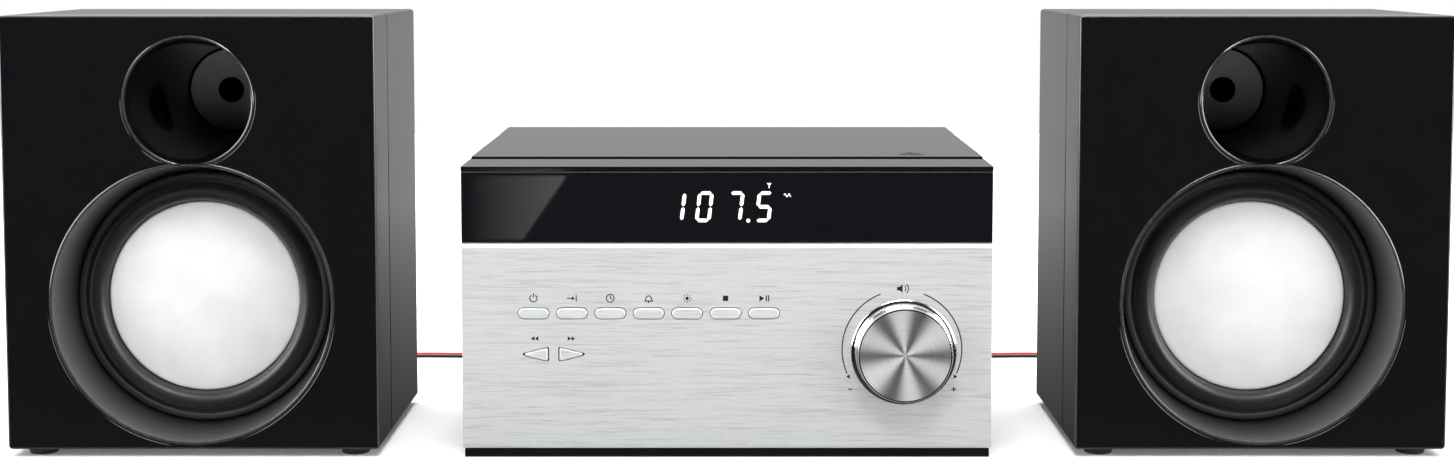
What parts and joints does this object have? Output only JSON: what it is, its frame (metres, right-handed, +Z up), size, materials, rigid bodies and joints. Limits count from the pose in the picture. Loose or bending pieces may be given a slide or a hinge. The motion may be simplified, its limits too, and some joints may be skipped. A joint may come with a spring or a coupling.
{
  "type": "mini hifi system",
  "caption": "Compact disc and radio unit with a brushed front, top lid and volume knob, wired to gloss-black bookshelf loudspeakers.",
  "frame": {"origin": "on the standing surface, below the middle of the box round the three units without the leads", "axes": "+X to the right as seen by a listener, fronts facing -Y, +Z up"},
  "size_m": [0.6528, 0.308, 0.2008],
  "materials": {
    "gloss_black": "polished black ABS",
    "casing": "dark grey, half gloss",
    "horn_grey": "satin grey moulding",
    "satin_black": "satin black",
    "rubber": "matt black rubber",
    "dome_silver": "pale silver, matt",
    "lead_sheath": "red and black PVC twin flex",
    "brushed_silver": "brushed across the width",
    "spun_silver": "spun, with a polished edge",
    "window_black": "polished black acrylic",
    "steel": "zinc plated",
    "circuit_board": "green solder mask",
    "white_plastic": "off-white acetal",
    "lever_red": "red ABS"
  },
  "bodies": {
    "chassis": {"left_baffle": "gloss_black", "left_cabinet": "casing", "left_woofer_bezel": "gloss_black", "left_port_horn": "horn_grey", "left_woofer_frame": "satin_black", "left_woofer_surround": "rubber", "left_lead_gland": "rubber", "left_foot_1": "rubber", "left_foot_2": "rubber", "left_foot_3": "rubber", "left_foot_4": "rubber", "left_lead_run": "lead_sheath", "left_lead_coil": "lead_sheath", "left_lead_tail": "lead_sheath", "right_baffle": "gloss_black", "right_cabinet": "casing", "right_woofer_bezel": "gloss_black", "right_port_horn": "horn_grey", "right_woofer_frame": "satin_black", "right_woofer_surround": "rubber", "right_lead_gland": "rubber", "right_foot_1": "rubber", "right_foot_2": "rubber", "right_foot_3": "rubber", "right_foot_4": "rubber", "right_lead_run": "lead_sheath", "right_lead_coil": "lead_sheath", "right_lead_tail": "lead_sheath", "base_tray": "satin_black", "front_bezel": "gloss_black", "face_plate": "brushed_silver", "display_window": "window_black", "housing_shell": "casing", "rear_panel": "satin_black", "volume_control": "steel", "front_board": "circuit_board", "display_module": "satin_black", "disc_deck": "satin_black", "disc_mechanism": "steel", "main_board": "circuit_board", "terminal_block": "satin_black"},
    "left_cone": {"left_woofer_cone": "dome_silver"},
    "right_cone": {"right_woofer_cone": "dome_silver"},
    "knob": {"volume_knob": "spun_silver"},
    "lid": {"disc_lid": "casing"},
    "hub": {"disc_hub": "white_plastic"},
    "pickup": {"optical_pickup": "steel"},
    "key_1_cap": {"key_1": "brushed_silver"},
    "key_2_cap": {"key_2": "brushed_silver"},
    "key_3_cap": {"key_3": "brushed_silver"},
    "key_4_cap": {"key_4": "brushed_silver"},
    "key_5_cap": {"key_5": "brushed_silver"},
    "key_6_cap": {"key_6": "brushed_silver"},
    "key_7_cap": {"key_7": "brushed_silver"},
    "tune_down_cap": {"tune_down": "brushed_silver"},
    "tune_up_cap": {"tune_up": "brushed_silver"},
    "lever_1_tab": {"lever_1": "satin_black"},
    "lever_2_tab": {"lever_2": "lever_red"},
    "lever_3_tab": {"lever_3": "lever_red"},
    "lever_4_tab": {"lever_4": "satin_black"}
  },
  "joints": [
    {"name": "left_cone_travel", "type": "slide", "parent": "chassis", "child": "left_cone", "axis": [0, -1, 0], "range_m": [-0.0025, 0.0025], "stiffness_N_per_m": 1500, "deforming": ["left_woofer_surround"]},
    {"name": "right_cone_travel", "type": "slide", "parent": "chassis", "child": "right_cone", "axis": [0, -1, 0], "range_m": [-0.0025, 0.0025], "stiffness_N_per_m": 1500, "deforming": ["right_woofer_surround"]},
    {"name": "volume_turn", "type": "hinge", "parent": "chassis", "child": "knob", "pos_m": [0.0798, -0.104, 0.049], "axis": [0, 1, 0], "range_deg": [-135, 135]},
    {"name": "lid_hinge", "type": "hinge", "parent": "chassis", "child": "lid", "pos_m": [0, 0.1095, 0.124], "axis": [-1, 0, 0], "range_deg": [0, 65]},
    {"name": "disc_spin", "type": "hinge", "parent": "chassis", "child": "hub", "pos_m": [0, 0.027, 0.11], "axis": [0, 0, 1], "continuous": true},
    {"name": "pickup_travel", "type": "slide", "parent": "chassis", "child": "pickup", "axis": [0, -1, 0], "range_m": [0, 0.024]},
    {"name": "key_1_press", "type": "slide", "parent": "chassis", "child": "key_1_cap", "axis": [0, 1, 0], "range_m": [0, 0.0008], "stiffness_N_per_m": 900},
    {"name": "key_2_press", "type": "slide", "parent": "chassis", "child": "key_2_cap", "axis": [0, 1, 0], "range_m": [0, 0.0008], "stiffness_N_per_m": 900},
    {"name": "key_3_press", "type": "slide", "parent": "chassis", "child": "key_3_cap", "axis": [0, 1, 0], "range_m": [0, 0.0008], "stiffness_N_per_m": 900},
    {"name": "key_4_press", "type": "slide", "parent": "chassis", "child": "key_4_cap", "axis": [0, 1, 0], "range_m": [0, 0.0008], "stiffness_N_per_m": 900},
    {"name": "key_5_press", "type": "slide", "parent": "chassis", "child": "key_5_cap", "axis": [0, 1, 0], "range_m": [0, 0.0008], "stiffness_N_per_m": 900},
    {"name": "key_6_press", "type": "slide", "parent": "chassis", "child": "key_6_cap", "axis": [0, 1, 0], "range_m": [0, 0.0008], "stiffness_N_per_m": 900},
    {"name": "key_7_press", "type": "slide", "parent": "chassis", "child": "key_7_cap", "axis": [0, 1, 0], "range_m": [0, 0.0008], "stiffness_N_per_m": 900},
    {"name": "tune_down_press", "type": "slide", "parent": "chassis", "child": "tune_down_cap", "axis": [0, 1, 0], "range_m": [0, 0.0008], "stiffness_N_per_m": 900},
    {"name": "tune_up_press", "type": "slide", "parent": "chassis", "child": "tune_up_cap", "axis": [0, 1, 0], "range_m": [0, 0.0008], "stiffness_N_per_m": 900},
    {"name": "lever_1_press", "type": "hinge", "parent": "chassis", "child": "lever_1_tab", "pos_m": [-0.024, 0.1185, 0.057], "axis": [-1, 0, 0], "range_deg": [0, 12], "stiffness_Nm_per_rad": 0.15},
    {"name": "lever_2_press", "type": "hinge", "parent": "chassis", "child": "lever_2_tab", "pos_m": [-0.012, 0.1185, 0.057], "axis": [-1, 0, 0], "range_deg": [0, 12], "stiffness_Nm_per_rad": 0.15},
    {"name": "lever_3_press", "type": "hinge", "parent": "chassis", "child": "lever_3_tab", "pos_m": [0.012, 0.1185, 0.057], "axis": [-1, 0, 0], "range_deg": [0, 12], "stiffness_Nm_per_rad": 0.15},
    {"name": "lever_4_press", "type": "hinge", "parent": "chassis", "child": "lever_4_tab", "pos_m": [0.024, 0.1185, 0.057], "axis": [-1, 0, 0], "range_deg": [0, 12], "stiffness_Nm_per_rad": 0.15}
  ]
}
